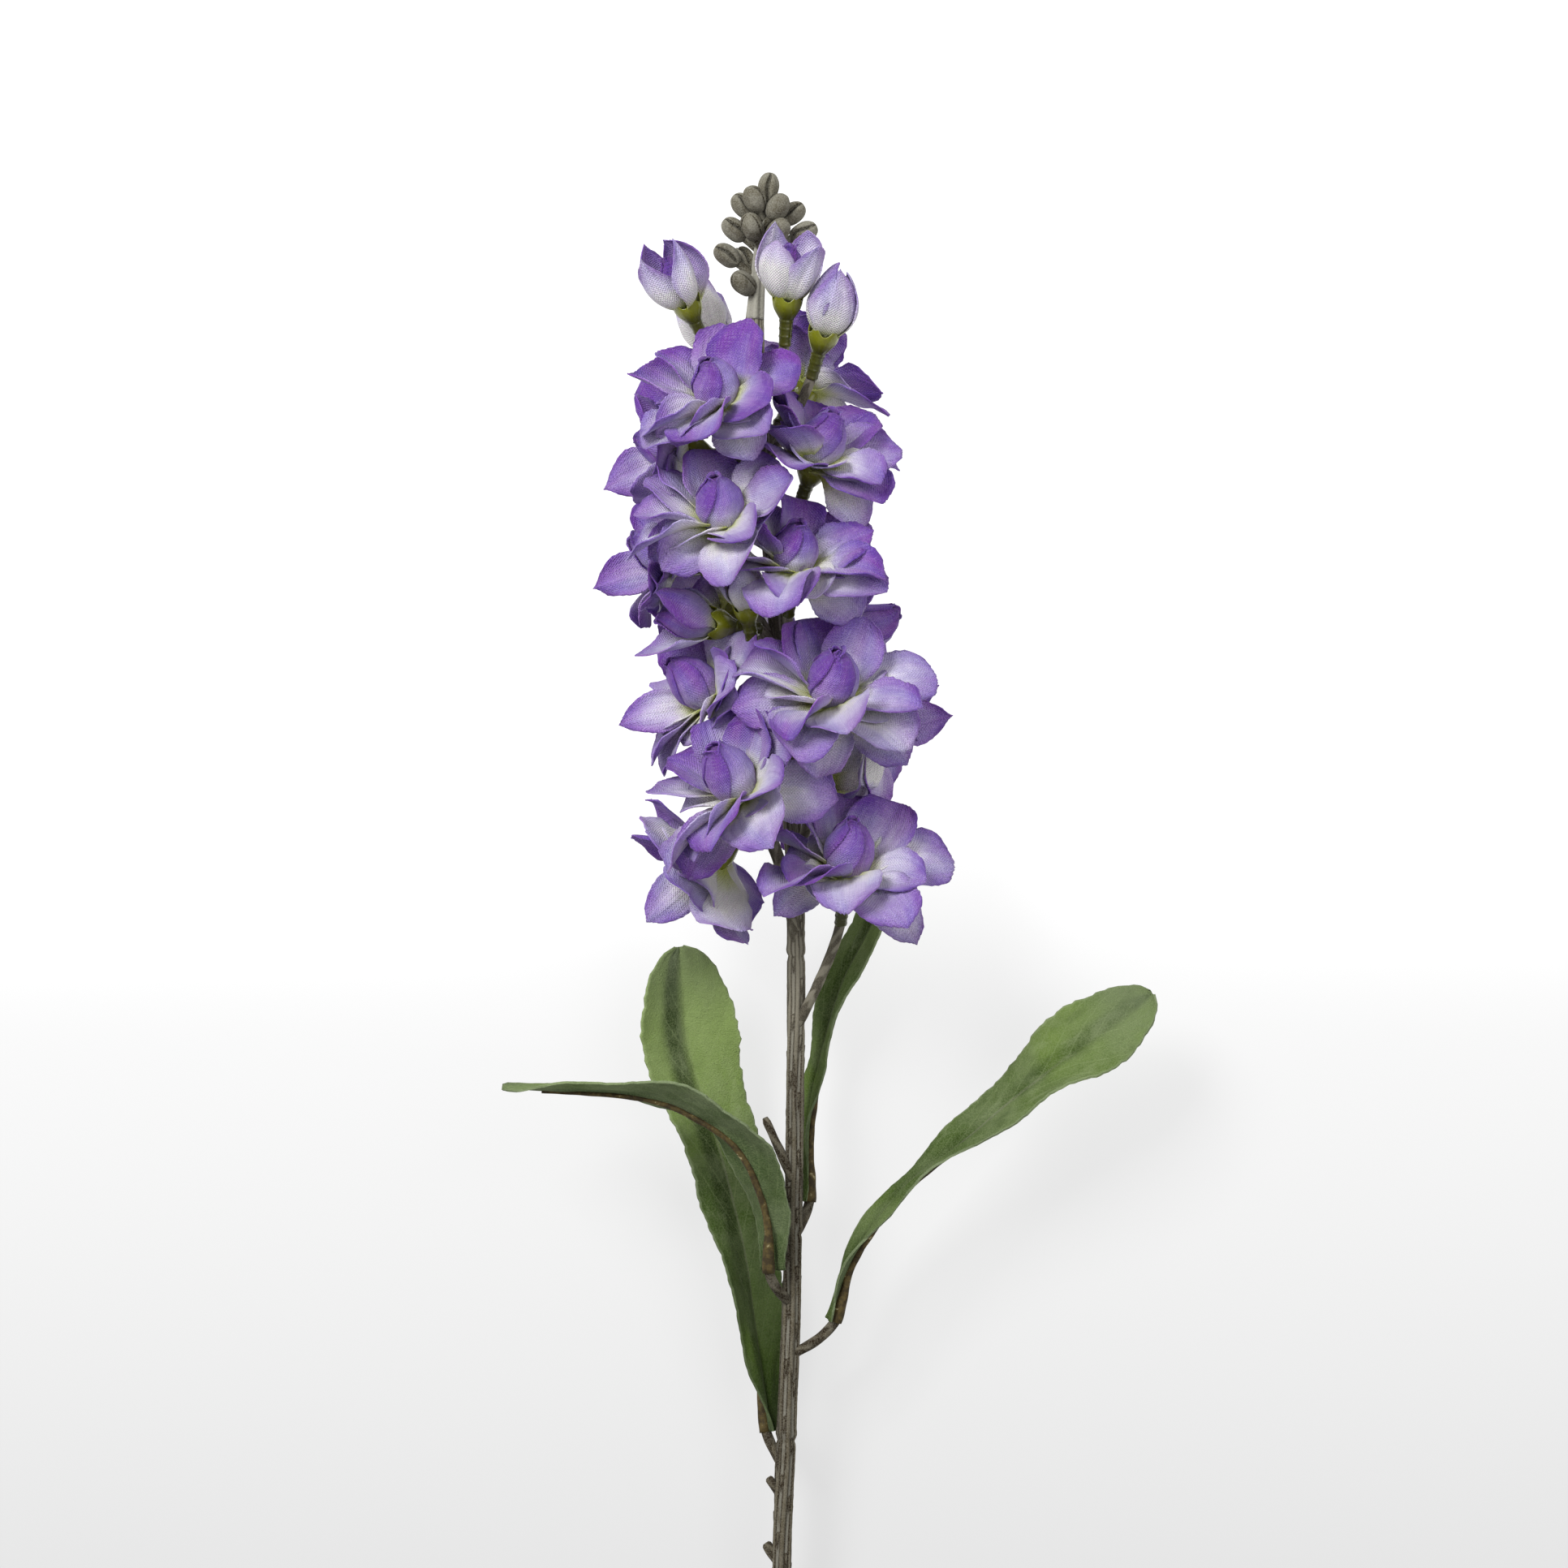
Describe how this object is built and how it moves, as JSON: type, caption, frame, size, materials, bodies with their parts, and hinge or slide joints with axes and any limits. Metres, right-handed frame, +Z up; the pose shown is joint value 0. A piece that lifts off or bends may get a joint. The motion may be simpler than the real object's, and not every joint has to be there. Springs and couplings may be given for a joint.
{
  "type": "artificial stock flower stem",
  "caption": "Cut stem of artificial stock, lying down: lilac fabric blooms and buds on green cups along a ribbed stem, a tip of closed buds and long green leaves.",
  "frame": {"origin": "on the surface the stem lies on, under the middle of the part's bounding box", "axes": "+Y along the stem from its cut end to its tip, +Z up from the surface to the side the flowers show, +X to the right seen from above with the tip away"},
  "size_m": [0.1934, 0.619, 0.0967],
  "materials": {
    "petal_fabric": "woven polyester, cream at the base and violet at the edge",
    "cup_plastic": "moulded, satin",
    "stem_flock": "flocked, dusty in the grooves",
    "bud_flock": "flocked",
    "leaf_fabric": "velvety, mottled",
    "rib_plastic": "coated wire"
  },
  "bodies": {
    "root": {"main_stem": "stem_flock", "tip_buds": "bud_flock", "bloom_01_petals": "petal_fabric", "bloom_01_cup": "cup_plastic", "bloom_02_petals": "petal_fabric", "bloom_02_cup": "cup_plastic", "bloom_03_petals": "petal_fabric", "bloom_03_cup": "cup_plastic", "bloom_04_petals": "petal_fabric", "bloom_04_cup": "cup_plastic", "bloom_05_petals": "petal_fabric", "bloom_05_cup": "cup_plastic", "bloom_06_petals": "petal_fabric", "bloom_06_cup": "cup_plastic", "bloom_07_petals": "petal_fabric", "bloom_07_cup": "cup_plastic", "bloom_08_petals": "petal_fabric", "bloom_08_cup": "cup_plastic", "bloom_09_petals": "petal_fabric", "bloom_09_cup": "cup_plastic", "bloom_10_petals": "petal_fabric", "bloom_10_cup": "cup_plastic", "bloom_11_petals": "petal_fabric", "bloom_11_cup": "cup_plastic", "bloom_12_petals": "petal_fabric", "bloom_12_cup": "cup_plastic", "bloom_13_petals": "petal_fabric", "bloom_13_cup": "cup_plastic", "bloom_14_petals": "petal_fabric", "bloom_14_cup": "cup_plastic", "bloom_15_petals": "petal_fabric", "bloom_15_cup": "cup_plastic", "bloom_16_petals": "petal_fabric", "bloom_16_cup": "cup_plastic", "bud_01_petals": "petal_fabric", "bud_01_cup": "cup_plastic", "bud_02_petals": "petal_fabric", "bud_02_cup": "cup_plastic", "bud_03_petals": "petal_fabric", "bud_03_cup": "cup_plastic", "bud_04_petals": "petal_fabric", "bud_04_cup": "cup_plastic", "bud_05_petals": "petal_fabric", "bud_05_cup": "cup_plastic", "bud_06_petals": "petal_fabric", "bud_06_cup": "cup_plastic", "leaf_back_left": "leaf_fabric", "leaf_back_left_rib": "rib_plastic", "leaf_left": "leaf_fabric", "leaf_left_rib": "rib_plastic", "leaf_right": "leaf_fabric", "leaf_right_rib": "rib_plastic", "leaf_back_right": "leaf_fabric", "leaf_back_right_rib": "rib_plastic"}
  },
  "joints": []
}
